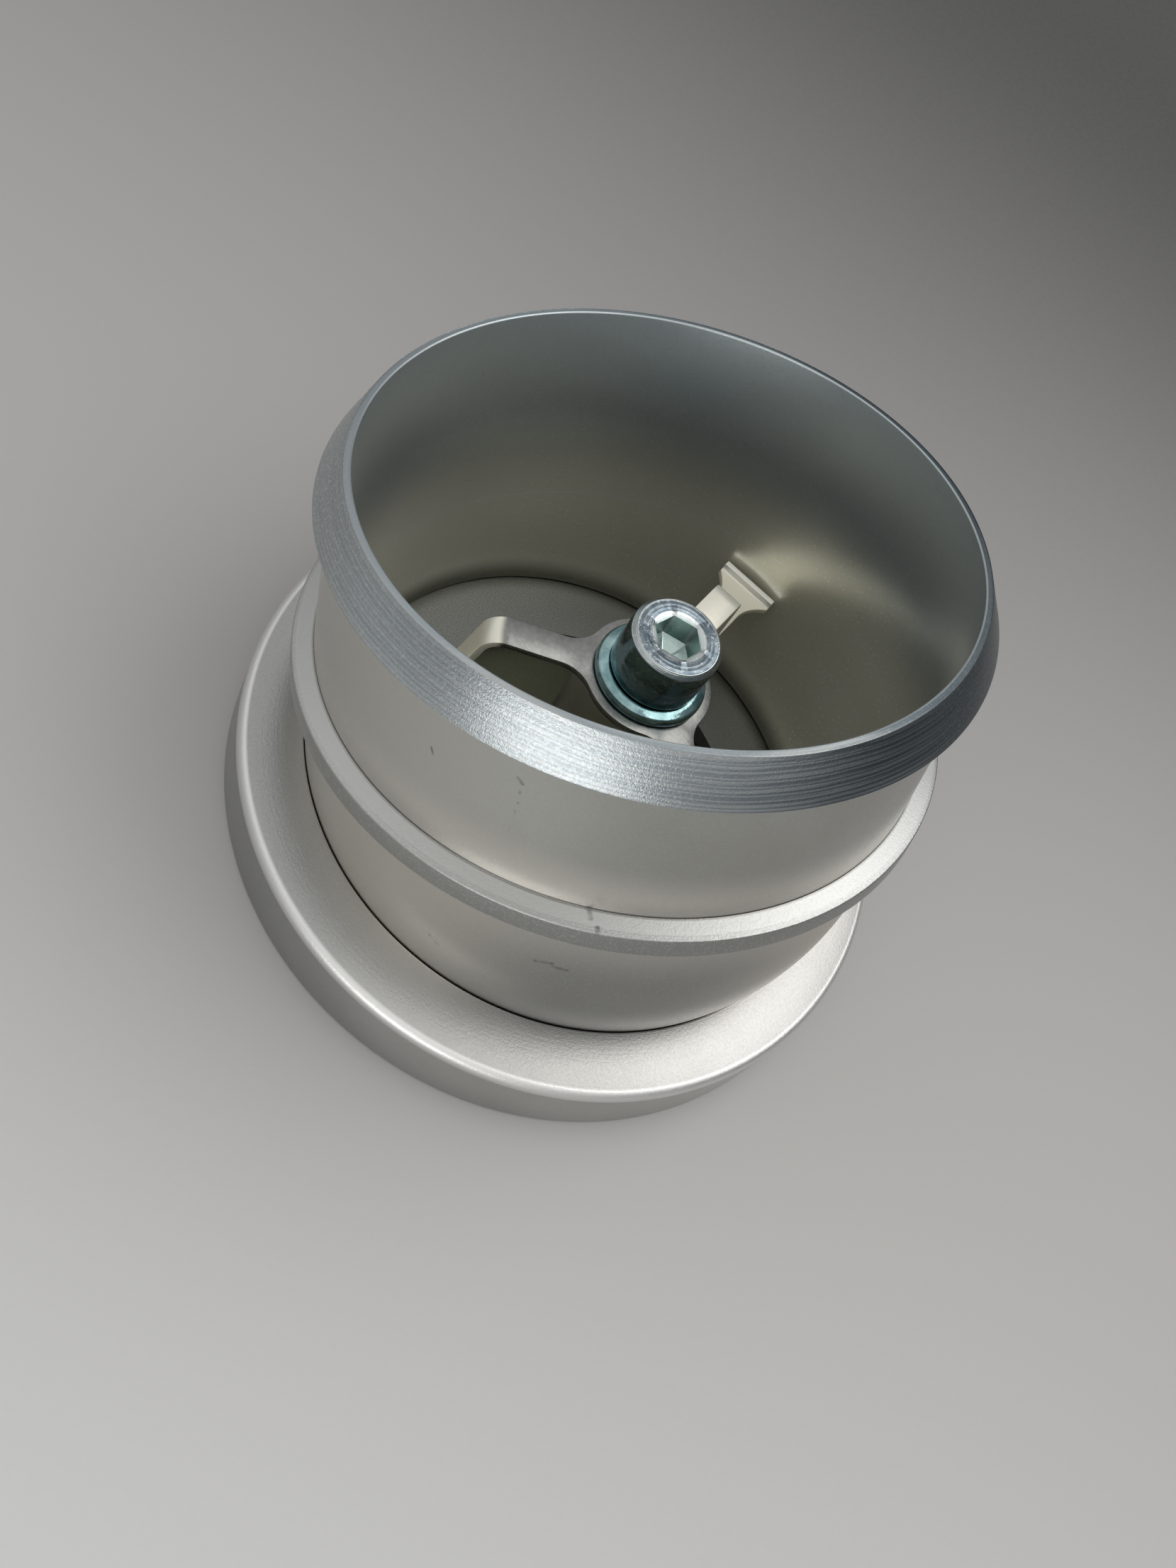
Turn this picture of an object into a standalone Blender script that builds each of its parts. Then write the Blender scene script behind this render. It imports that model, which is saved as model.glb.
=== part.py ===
"""Swivelling exhaust elbow for an 80 mm hose.

A turned aluminium tube leaves a round base at fifteen degrees. Its ball-shaped lower end turns in
the seat of the base, and a three-armed clamp with one central screw holds it there. The base lies
on z = 0, the screw stands on the z axis, and the tube leans towards +X. All sizes are millimetres.
"""
import math

import bmesh
import bpy
from mathutils import Vector

MM = 0.001

# Elbow tube: bore, wall, lean, and heights measured along the leaning axis from the ball's centre
BORE_RADIUS = 40.0
WALL = 2.2
LEAN = math.radians(14.5)
BALL_HEIGHT = 23.0
TUBE_LENGTH = 43.3
TUBE_SIDES = 80

# Collar that the hose is pushed over
LAND_WIDTH = 1.0
COLLAR_RISE = 2.0
COLLAR_LENGTH = 6.0
COLLAR_UNDERCUT = 0.4
RIM_BREAK = 0.25

# Ring that stops the hose
RING_RISE = 2.9
RING_THICKNESS = 3.2
RING_FALL = 0.7
RING_HEIGHT = 14.6
EDGE_BREAK = 0.25

# Base
CROWN_WIDTH = 8.27
SEAT_TOP = 13.5
CROWN_SLOPE = math.radians(14.0)
CROWN_FILLET = 1.3
LIP_WIDTH = 0.4
LEDGE_HEIGHT = 8.0
WEB_THICKNESS = 4.0
PORT_RADIUS = 27.0
RECESS_RADIUS = 34.5
FOOT_CHAMFER = 0.6

# Anchor plate under the base, and the sleeve that stands on it
PLATE_THICKNESS = 3.2
SLOT_COUNT = 3
SLOT_INNER = 12.5
SLOT_OUTER = 25.5
SLOT_HALF_ANGLE = math.radians(26.0)
SLOT_BEARING = math.radians(19.0)
SLOT_CORNER = 2.0
SLEEVE_RADIUS = 8.75
SLEEVE_TOP = 38.5
SLEEVE_CHAMFER = 0.5
SPIGOT_RADIUS = 6.0

# Three-armed clamp of folded sheet
SHEET = 1.0
HUB_RADIUS = 9.3
ARM_COUNT = 3
ARM_BEARING = math.radians(45.0)
ARM_WIDTH = 4.4
ARM_FILLET = 5.0
KNEE_START = 19.8
KNEE_RADIUS = 3.0
LEG_SPLAY = math.radians(10.0)
ANKLE_RADIUS = 2.4
FOOT_HEIGHT = 25.0
TOE_WIDTH = 9.6
TOE_FLARE = 5.0
TOE_UPTURN = 1.0
TOE_LIP = 0.6

# Socket-head screw, eight millimetre thread, and its washer
THREAD_RADIUS = 4.0
SCREW_LENGTH = 25.0
HEAD_RADIUS = 6.5
HEAD_HEIGHT = 8.0
HEAD_CHAMFER = 0.6
KEY_WIDTH = 6.0
KEY_DEPTH = 4.2
DRILL_ANGLE = math.radians(30.0)
TIP_CHAMFER = 0.8
WASHER_RADIUS = 8.0
WASHER_THICKNESS = 1.6
WASHER_CHAMFER = 0.3

# Clearances
SEAT_GAP = 0.3
RUN_GAP = 0.3
SCREW_SIDES = 48
ARC_STEPS = 6

ALUMINIUM = ((0.62, 0.62, 0.60, 1.0), 1.0, 0.38)
SHEET_STEEL = ((0.66, 0.65, 0.62, 1.0), 1.0, 0.30)
DARK_STEEL = ((0.06, 0.06, 0.045, 1.0), 0.8, 0.55)
ZINC = ((0.60, 0.66, 0.68, 1.0), 1.0, 0.18)


def clear_scene():
    for thing in list(bpy.data.objects):
        bpy.data.objects.remove(thing, do_unlink=True)


def finish_object(name, bm, finish):
    """Turn the mesh outwards, scale it to metres and hang it in the scene with its own material."""
    bmesh.ops.recalc_face_normals(bm, faces=bm.faces[:])
    bmesh.ops.scale(bm, vec=Vector((MM, MM, MM)), verts=bm.verts[:])
    mesh = bpy.data.meshes.new(name)
    bm.to_mesh(mesh)
    bm.free()
    mesh.shade_smooth()
    mesh.set_sharp_from_angle(angle=math.radians(25.0))
    colour, metallic, roughness = finish
    material = bpy.data.materials.new(name + "_finish")
    material.use_nodes = True
    shader = material.node_tree.nodes["Principled BSDF"]
    shader.inputs["Base Color"].default_value = colour
    shader.inputs["Metallic"].default_value = metallic
    shader.inputs["Roughness"].default_value = roughness
    mesh.materials.append(material)
    thing = bpy.data.objects.new(name, mesh)
    bpy.context.scene.collection.objects.link(thing)
    return thing


def arc(centre_r, centre_z, radius, start, end, steps):
    """Points of a turned profile on an arc, angles from +R towards +Z."""
    points = []
    for step in range(steps + 1):
        angle = start + (end - start) * step / steps
        points.append((centre_r + radius * math.cos(angle), centre_z + radius * math.sin(angle)))
    return points


def join_rings(bm, rings):
    """Skin a closed chain of rings with quads, so that the body is one turned or lofted solid."""
    sides = len(rings[0])
    loops = [[bm.verts.new(point) for point in ring] for ring in rings]
    for here, after in zip(loops, loops[1:] + loops[:1]):
        for side in range(sides):
            follow = (side + 1) % sides
            bm.faces.new((here[side], here[follow], after[follow], after[side]))


def turned(name, profile, sides, finish):
    """A body turned about the z axis from a closed profile that stays clear of the axis."""
    bm = bmesh.new()
    verts = [bm.verts.new((radius, 0.0, height)) for radius, height in profile]
    edges = [bm.edges.new((verts[i - 1], verts[i])) for i in range(len(verts))]
    axis = {"cent": (0.0, 0.0, 0.0), "axis": (0.0, 0.0, 1.0)}
    bmesh.ops.spin(bm, geom=verts + edges, angle=2.0 * math.pi, steps=sides, use_merge=True, **axis)
    return finish_object(name, bm, finish)


def leaning_ring(lean, offset, radius):
    """A circle square to an axis that leans by lean through the ball's centre."""
    axis = Vector((math.sin(lean), 0.0, math.cos(lean)))
    across = Vector((math.cos(lean), 0.0, -math.sin(lean)))
    middle = Vector((0.0, 0.0, BALL_HEIGHT)) + axis * offset
    ring = []
    for side in range(TUBE_SIDES):
        angle = 2.0 * math.pi * side / TUBE_SIDES
        ring.append(middle + across * (radius * math.cos(angle)) + Vector((0.0, radius * math.sin(angle), 0.0)))
    return ring


def ball_rings(radius, steps):
    """Circles of a sphere, from its equator square to the tube to its foot square to the base."""
    depth = BALL_HEIGHT - (LEDGE_HEIGHT + SEAT_GAP)
    foot_angle = math.asin(depth / radius)
    rings = []
    for step in range(1, steps + 1):
        share = step / steps
        angle = foot_angle * share
        rings.append(leaning_ring(LEAN * (1.0 - share), -radius * math.sin(angle), radius * math.cos(angle)))
    return rings


def make_elbow_tube():
    """One solid: land, bevelled collar, wall, stop ring and ball outside; ball and bore inside."""
    wall_radius = BORE_RADIUS + WALL
    land_radius = BORE_RADIUS + LAND_WIDTH
    collar_radius = wall_radius + COLLAR_RISE
    collar_low = TUBE_LENGTH - COLLAR_LENGTH
    ring_radius = wall_radius + RING_RISE
    ring_edge = RING_HEIGHT - RING_FALL
    ring_low = ring_edge - RING_THICKNESS
    outside = [
        (land_radius, TUBE_LENGTH),
        (collar_radius, collar_low),
        (collar_radius - EDGE_BREAK, collar_low - EDGE_BREAK),
        (wall_radius, collar_low - COLLAR_UNDERCUT),
        (wall_radius, RING_HEIGHT),
        (ring_radius - EDGE_BREAK, ring_edge),
        (ring_radius, ring_edge - EDGE_BREAK),
        (ring_radius, ring_low + EDGE_BREAK),
        (ring_radius - EDGE_BREAK, ring_low),
        (wall_radius, ring_low),
        (wall_radius, 0.0),
    ]
    inside = [
        (BORE_RADIUS, 0.0),
        (BORE_RADIUS, TUBE_LENGTH - RIM_BREAK),
        (BORE_RADIUS + RIM_BREAK, TUBE_LENGTH),
    ]
    bm = bmesh.new()
    rings = [leaning_ring(LEAN, height, radius) for radius, height in outside]
    rings += ball_rings(wall_radius, ARC_STEPS)
    rings += reversed(ball_rings(BORE_RADIUS, ARC_STEPS))
    rings += [leaning_ring(LEAN, height, radius) for radius, height in inside]
    join_rings(bm, rings)
    return finish_object("elbow_tube", bm, ALUMINIUM)


def make_base_flange():
    """Ring with a crowned top, a seat for the ball, a ledge under it and a recess below."""
    seat_radius = BORE_RADIUS + WALL + RUN_GAP
    low_angle = -math.asin((BALL_HEIGHT - LEDGE_HEIGHT) / seat_radius)
    high_angle = -math.asin((BALL_HEIGHT - SEAT_TOP + LIP_WIDTH) / seat_radius)
    seat = arc(0.0, BALL_HEIGHT, seat_radius, low_angle, high_angle, ARC_STEPS)
    lip_radius = seat[-1][0] + LIP_WIDTH
    base_radius = lip_radius + CROWN_WIDTH
    fillet_r = base_radius - CROWN_FILLET
    touch_r = fillet_r + CROWN_FILLET * math.sin(CROWN_SLOPE)
    touch_z = SEAT_TOP - (touch_r - lip_radius) * math.tan(CROWN_SLOPE)
    fillet_z = touch_z - CROWN_FILLET * math.cos(CROWN_SLOPE)
    crown = arc(fillet_r, fillet_z, CROWN_FILLET, math.pi / 2.0 - CROWN_SLOPE, 0.0, ARC_STEPS)
    web_low = LEDGE_HEIGHT - WEB_THICKNESS
    profile = [
        (PORT_RADIUS, web_low),
        (PORT_RADIUS, LEDGE_HEIGHT - EDGE_BREAK),
        (PORT_RADIUS + EDGE_BREAK, LEDGE_HEIGHT),
    ]
    profile += seat
    profile.append((lip_radius, SEAT_TOP))
    profile += crown
    profile += [
        (base_radius, FOOT_CHAMFER),
        (base_radius - FOOT_CHAMFER, 0.0),
        (RECESS_RADIUS, 0.0),
        (RECESS_RADIUS, web_low),
    ]
    return turned("base_flange", profile, TUBE_SIDES, ALUMINIUM)


def circle_loop(radius, sides):
    return [(radius * math.cos(2.0 * math.pi * i / sides), radius * math.sin(2.0 * math.pi * i / sides))
            for i in range(sides)]


def slot_loop(bearing):
    """A curved slot between two radii, with rounded corners."""
    corners = []
    for radius, inward, first, last in (
        (SLOT_OUTER, -SLOT_CORNER, -SLOT_HALF_ANGLE, SLOT_HALF_ANGLE),
        (SLOT_INNER, SLOT_CORNER, SLOT_HALF_ANGLE, -SLOT_HALF_ANGLE),
    ):
        turn = math.copysign(SLOT_CORNER / radius, last - first)
        run = [(radius + inward, first)]
        run.append((radius + inward * 0.3, first + turn * 0.3))
        for step in range(ARC_STEPS + 1):
            run.append((radius, first + turn + (last - first - 2.0 * turn) * step / ARC_STEPS))
        run.append((radius + inward * 0.3, last - turn * 0.3))
        run.append((radius + inward, last))
        corners += run
    return [(r * math.cos(bearing + a), r * math.sin(bearing + a)) for r, a in corners]


def flat_body(bm, loops, low, high):
    """Fill a flat outline with its holes, and raise it to a plate. Returns the plate's side faces."""
    edges = []
    for loop in loops:
        verts = [bm.verts.new((x, y, low)) for x, y in loop]
        edges += [bm.edges.new((verts[i], verts[(i + 1) % len(verts)])) for i in range(len(verts))]
    filled = bmesh.ops.triangle_fill(bm, use_beauty=True, edges=edges, normal=(0.0, 0.0, 1.0))
    faces = [item for item in filled["geom"] if isinstance(item, bmesh.types.BMFace)]
    raised = bmesh.ops.extrude_face_region(bm, geom=faces)
    tops = [item for item in raised["geom"] if isinstance(item, bmesh.types.BMVert)]
    bmesh.ops.translate(bm, vec=Vector((0.0, 0.0, high - low)), verts=tops)
    bm.faces.ensure_lookup_table()
    bmesh.ops.recalc_face_normals(bm, faces=bm.faces[:])
    bm.normal_update()
    return [face for face in bm.faces if abs(face.normal.z) < 0.5]


def make_anchor_plate():
    """Round plate in the base's recess, with curved slots for the gas and a hole for the sleeve."""
    high = LEDGE_HEIGHT - WEB_THICKNESS - SEAT_GAP
    loops = [circle_loop(RECESS_RADIUS - SEAT_GAP, SCREW_SIDES), circle_loop(SPIGOT_RADIUS + SEAT_GAP, SCREW_SIDES)]
    for slot in range(SLOT_COUNT):
        loops.append(slot_loop(SLOT_BEARING + 2.0 * math.pi * slot / SLOT_COUNT))
    bm = bmesh.new()
    flat_body(bm, loops, high - PLATE_THICKNESS, high)
    return finish_object("anchor_plate", bm, DARK_STEEL)


def make_centre_sleeve():
    """Turned sleeve: a shoulder on the plate, a spigot through it and a threaded hole for the screw."""
    plate_top = LEDGE_HEIGHT - WEB_THICKNESS - SEAT_GAP
    shoulder = plate_top + SEAT_GAP
    hole = THREAD_RADIUS + SEAT_GAP
    profile = [
        (hole, plate_top - PLATE_THICKNESS),
        (hole, SLEEVE_TOP - SLEEVE_CHAMFER),
        (hole + SLEEVE_CHAMFER, SLEEVE_TOP),
        (SLEEVE_RADIUS - SLEEVE_CHAMFER, SLEEVE_TOP),
        (SLEEVE_RADIUS, SLEEVE_TOP - SLEEVE_CHAMFER),
        (SLEEVE_RADIUS, shoulder),
        (SPIGOT_RADIUS, shoulder),
        (SPIGOT_RADIUS, plate_top - PLATE_THICKNESS),
    ]
    return turned("centre_sleeve", profile, SCREW_SIDES, ALUMINIUM)


def hub_outline():
    """Hub circle running through concave fillets into the three arms, cut square at the knees."""
    half = ARM_WIDTH / 2.0
    reach = HUB_RADIUS + ARM_FILLET
    fillet_x = math.sqrt(reach ** 2 - (half + ARM_FILLET) ** 2)
    touch = math.atan2(half + ARM_FILLET, fillet_x)
    side = []
    for step in range(ARC_STEPS + 1):
        angle = math.pi + touch + (math.pi / 2.0 - touch) * step / ARC_STEPS
        side.append((fillet_x + ARM_FILLET * math.cos(angle), half + ARM_FILLET * (1.0 + math.sin(angle))))
    gap_angle = math.pi / ARM_COUNT - touch
    outline = []
    for arm in range(ARM_COUNT):
        bearing = ARM_BEARING + 2.0 * math.pi * arm / ARM_COUNT
        local = [(x, -y) for x, y in side]
        local += [(KNEE_START, -half), (KNEE_START, half)]
        local += list(reversed(side))
        for step in range(1, ARC_STEPS * 2):
            angle = touch + 2.0 * gap_angle * step / (ARC_STEPS * 2)
            local.append((HUB_RADIUS * math.cos(angle), HUB_RADIUS * math.sin(angle)))
        cos_b = math.cos(bearing)
        sin_b = math.sin(bearing)
        outline += [(x * cos_b - y * sin_b, x * sin_b + y * cos_b) for x, y in local]
    return outline


def arm_stations(flat_middle):
    """Middle line of an arm past its knee: (reach, height, slope, half width), slope from outwards."""
    drop_slope = -(math.pi / 2.0 - LEG_SPLAY)
    stations = []
    for step in range(1, ARC_STEPS + 1):
        slope = drop_slope * step / ARC_STEPS
        reach = KNEE_START - KNEE_RADIUS * math.sin(slope)
        stations.append([reach, flat_middle - KNEE_RADIUS * (1.0 - math.cos(slope)), slope])
    knee_reach, knee_height, _ = stations[-1]
    ankle_drop = ANKLE_RADIUS * (1.0 - math.cos(drop_slope))
    leg_drop = knee_height - FOOT_HEIGHT - ankle_drop
    leg_reach = knee_reach + leg_drop * math.tan(LEG_SPLAY)
    for step in range(ARC_STEPS + 1):
        slope = drop_slope * (1.0 - step / ARC_STEPS)
        reach = leg_reach + ANKLE_RADIUS * (math.sin(slope) - math.sin(drop_slope))
        stations.append([reach, FOOT_HEIGHT + ANKLE_RADIUS * (1.0 - math.cos(slope)), slope])
    toe_high = FOOT_HEIGHT + TOE_UPTURN + TOE_LIP + SHEET / 2.0
    corner_reach = BORE_RADIUS - SEAT_GAP
    level_reach = math.sqrt(corner_reach ** 2 - (toe_high - BALL_HEIGHT) ** 2 - (TOE_WIDTH / 2.0) ** 2)
    toe_reach = level_reach - SHEET / 2.0
    turn_start = toe_reach - TOE_UPTURN
    flare_start = turn_start - TOE_FLARE
    for step in range(ARC_STEPS + 1):
        stations.append([flare_start + TOE_FLARE * step / ARC_STEPS, FOOT_HEIGHT, 0.0])
    for step in range(1, ARC_STEPS + 1):
        slope = math.pi / 2.0 * step / ARC_STEPS
        rise = TOE_UPTURN * (1.0 - math.cos(slope))
        stations.append([turn_start + TOE_UPTURN * math.sin(slope), FOOT_HEIGHT + rise, slope])
    stations.append([toe_reach, FOOT_HEIGHT + TOE_UPTURN + TOE_LIP, math.pi / 2.0])
    for station in stations:
        share = min(1.0, max(0.0, (station[0] - flare_start) / TOE_FLARE))
        station.append((ARM_WIDTH + (TOE_WIDTH - ARM_WIDTH) * share ** 2) / 2.0)
    return stations


def make_clamp_spider():
    """Sheet-metal star: flat hub, three arms folded down at the knee and out again to flared toes."""
    low = SLEEVE_TOP + SEAT_GAP
    high = low + SHEET
    hole = THREAD_RADIUS + SEAT_GAP
    bm = bmesh.new()
    sides = flat_body(bm, [hub_outline(), circle_loop(hole, SCREW_SIDES)], low, high)
    stations = arm_stations((low + high) / 2.0)
    for arm in range(ARM_COUNT):
        bearing = ARM_BEARING + 2.0 * math.pi * arm / ARM_COUNT
        outward = Vector((math.cos(bearing), math.sin(bearing), 0.0))
        sideways = Vector((-math.sin(bearing), math.cos(bearing), 0.0))
        end = max(sides, key=lambda face: face.calc_center_median().dot(outward))
        sides.remove(end)
        middle = end.calc_center_median()
        ring = list(end.verts)
        signs = [(math.copysign(1.0, (vert.co - middle).dot(sideways)), math.copysign(1.0, vert.co.z - middle.z))
                 for vert in ring]
        bm.faces.remove(end)
        for reach, height, slope, half in stations:
            upper = outward * -math.sin(slope) + Vector((0.0, 0.0, math.cos(slope)))
            place = outward * reach + Vector((0.0, 0.0, height))
            fresh = [bm.verts.new(place + sideways * (across * half) + upper * (over * SHEET / 2.0))
                     for across, over in signs]
            for corner in range(4):
                follow = (corner + 1) % 4
                bm.faces.new((ring[corner], ring[follow], fresh[follow], fresh[corner]))
            ring = fresh
        bm.faces.new(ring)
    return finish_object("clamp_spider", bm, SHEET_STEEL)


def make_plain_washer():
    low = SLEEVE_TOP + SHEET + 2.0 * SEAT_GAP
    high = low + WASHER_THICKNESS
    hole = THREAD_RADIUS + SEAT_GAP
    profile = [
        (hole, low),
        (hole, high),
        (WASHER_RADIUS - WASHER_CHAMFER, high),
        (WASHER_RADIUS, high - WASHER_CHAMFER),
        (WASHER_RADIUS, low),
    ]
    return turned("plain_washer", profile, SCREW_SIDES, ZINC)


def make_cap_screw():
    """Cylindrical head with a chamfered crown and a hexagonal key hole, on a plain threaded shank."""
    head_low = SLEEVE_TOP + SHEET + WASHER_THICKNESS + 3.0 * SEAT_GAP
    head_high = head_low + HEAD_HEIGHT
    tip = head_low - SCREW_LENGTH
    key_floor = head_high - KEY_DEPTH
    outside = [
        (THREAD_RADIUS - TIP_CHAMFER, tip),
        (THREAD_RADIUS, tip + TIP_CHAMFER),
        (THREAD_RADIUS, head_low),
        (HEAD_RADIUS, head_low),
        (HEAD_RADIUS, head_high - HEAD_CHAMFER),
        (HEAD_RADIUS - HEAD_CHAMFER, head_high),
    ]
    bm = bmesh.new()
    loops = []
    for radius, height in outside:
        loops.append([bm.verts.new((x, y, height)) for x, y in circle_loop(radius, SCREW_SIDES)])
    key_radius = KEY_WIDTH / 2.0
    for height in (head_high, key_floor):
        loop = []
        for side in range(SCREW_SIDES):
            angle = 2.0 * math.pi * side / SCREW_SIDES
            flat = (angle + math.pi / 6.0) % (math.pi / 3.0) - math.pi / 6.0
            reach = key_radius / math.cos(flat)
            loop.append(bm.verts.new((reach * math.cos(angle), reach * math.sin(angle), height)))
        loops.append(loop)
    for here, after in zip(loops, loops[1:]):
        for side in range(SCREW_SIDES):
            follow = (side + 1) % SCREW_SIDES
            bm.faces.new((here[side], here[follow], after[follow], after[side]))
    bm.faces.new(loops[0])
    point = bm.verts.new((0.0, 0.0, key_floor - key_radius * math.tan(DRILL_ANGLE)))
    floor = loops[-1]
    for side in range(SCREW_SIDES):
        bm.faces.new((floor[side], floor[(side + 1) % SCREW_SIDES], point))
    return finish_object("cap_screw", bm, ZINC)


def main():
    clear_scene()
    make_base_flange()
    make_anchor_plate()
    make_centre_sleeve()
    make_elbow_tube()
    make_clamp_spider()
    make_plain_washer()
    make_cap_screw()


main()
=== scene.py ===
import math

import bmesh
import bpy
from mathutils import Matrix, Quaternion, Vector


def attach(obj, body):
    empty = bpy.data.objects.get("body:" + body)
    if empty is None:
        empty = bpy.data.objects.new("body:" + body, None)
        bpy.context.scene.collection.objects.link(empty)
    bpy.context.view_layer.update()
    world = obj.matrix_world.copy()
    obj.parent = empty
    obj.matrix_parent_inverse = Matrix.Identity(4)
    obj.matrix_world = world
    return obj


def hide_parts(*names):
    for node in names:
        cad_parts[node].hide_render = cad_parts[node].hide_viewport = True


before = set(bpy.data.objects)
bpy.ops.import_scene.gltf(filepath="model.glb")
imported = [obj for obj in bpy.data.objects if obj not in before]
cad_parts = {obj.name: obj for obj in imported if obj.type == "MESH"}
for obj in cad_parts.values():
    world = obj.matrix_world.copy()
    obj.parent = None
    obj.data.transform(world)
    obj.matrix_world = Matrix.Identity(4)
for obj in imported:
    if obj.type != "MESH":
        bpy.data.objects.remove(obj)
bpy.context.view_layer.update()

# Elbow tube
# Turned and bead-blasted aluminium, clear anodised, with the collar, stop ring and ball end cut in
# one piece. The collar's bevel keeps the fine rings of its last cut. Lengths are in millimetres.
LEAN = math.radians(14.5)
BALL_CENTRE = Vector((0.0, 0.0, 23.0))
AXIS = Vector((math.sin(LEAN), 0.0, math.cos(LEAN)))
BORE_RADIUS = 40.0
WALL_RADIUS = 42.2
BALL_FOOT = 8.3
STOP_RADIUS = 45.1
STOP_LOW = 10.7
STOP_HIGH = 13.9
STOP_ROOT = 14.6
COLLAR_RADIUS = 44.2
COLLAR_LOW = 36.85
BEVEL_LOW = 37.3
LAND_RADIUS = 41.0
MOUTH = 43.3
MOUTH_EASE = 0.25
FINE_SIDES = 240
BALL_STEPS = 28
SHARP = math.radians(32.0)


def skin(name, rings, closed=True):
    """Skin a chain of rings of points; both ends are capped when it isn't closed."""
    bm = bmesh.new()
    loops = [[bm.verts.new(point * 0.001) for point in ring] for ring in rings]
    count = len(loops[0])
    pairs = list(zip(loops, loops[1:]))
    if closed:
        pairs.append((loops[-1], loops[0]))
    for here, after in pairs:
        for i in range(count):
            j = (i + 1) % count
            bm.faces.new((here[i], here[j], after[j], after[i]))
    if not closed:
        bm.faces.new(loops[0])
        bm.faces.new(loops[-1])
    bmesh.ops.recalc_face_normals(bm, faces=bm.faces[:])
    mesh = bpy.data.meshes.new(name)
    bm.to_mesh(mesh)
    bm.free()
    mesh.shade_smooth()
    mesh.set_sharp_from_angle(angle=SHARP)
    made = bpy.data.objects.new(name, mesh)
    bpy.context.scene.collection.objects.link(made)
    return made


def ring(middle, axis_x, axis_y, radius, sides=FINE_SIDES):
    turns = [2.0 * math.pi * i / sides for i in range(sides)]
    return [middle + axis_x * (radius * math.cos(a)) + axis_y * (radius * math.sin(a))
            for a in turns]


def leaning(lean, offset, radius):
    """A ring that is square to an axis through the ball's centre."""
    axis = Vector((math.sin(lean), 0.0, math.cos(lean)))
    across = Vector((math.cos(lean), 0.0, -math.sin(lean)))
    return ring(BALL_CENTRE + axis * offset, across, Vector((0, 1, 0)), radius)


def rounded(corners, sizes, steps=4):
    """Turned profile with each corner eased by its own small radius."""
    points = []
    for i, (corner, size) in enumerate(zip(corners, sizes)):
        here = Vector(corner)
        if size == 0.0:
            points.append(here)
            continue
        to_last = (Vector(corners[i - 1]) - here).normalized() * size
        to_next = (Vector(corners[(i + 1) % len(corners)]) - here).normalized() * size
        for k in range(steps + 1):
            t = k / steps
            points.append(here + to_last * (1.0 - t) ** 2 + to_next * t ** 2)
    return points


def ball_rings(radius):
    """Rings that turn from the leaning tube to a foot that is square to the base."""
    foot = math.asin((BALL_CENTRE.z - BALL_FOOT) / radius)
    rings = []
    for step in range(1, BALL_STEPS + 1):
        share = step / BALL_STEPS
        angle = foot * share
        drop = -radius * math.sin(angle)
        rings.append(leaning(LEAN * (1.0 - share), drop, radius * math.cos(angle)))
    return rings


outer = rounded(
    [(LAND_RADIUS, MOUTH), (COLLAR_RADIUS, BEVEL_LOW), (WALL_RADIUS, COLLAR_LOW),
     (WALL_RADIUS, STOP_ROOT), (STOP_RADIUS, STOP_HIGH), (STOP_RADIUS, STOP_LOW),
     (WALL_RADIUS, STOP_LOW), (WALL_RADIUS, 0.0)],
    [0.12, 0.16, 0.08, 0.10, 0.22, 0.20, 0.10, 0.0])
rings = [leaning(LEAN, offset, radius) for radius, offset in outer]
rings += ball_rings(WALL_RADIUS)
rings += reversed(ball_rings(BORE_RADIUS))
rings += [leaning(LEAN, offset, BORE_RADIUS) for offset in (0.0, 20.0, MOUTH - MOUTH_EASE)]
rings.append(leaning(LEAN, MOUTH - 0.1, BORE_RADIUS + 0.06))
rings.append(leaning(LEAN, MOUTH, BORE_RADIUS + MOUTH_EASE))
tube = skin("elbow_tube_dressed", rings)


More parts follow.
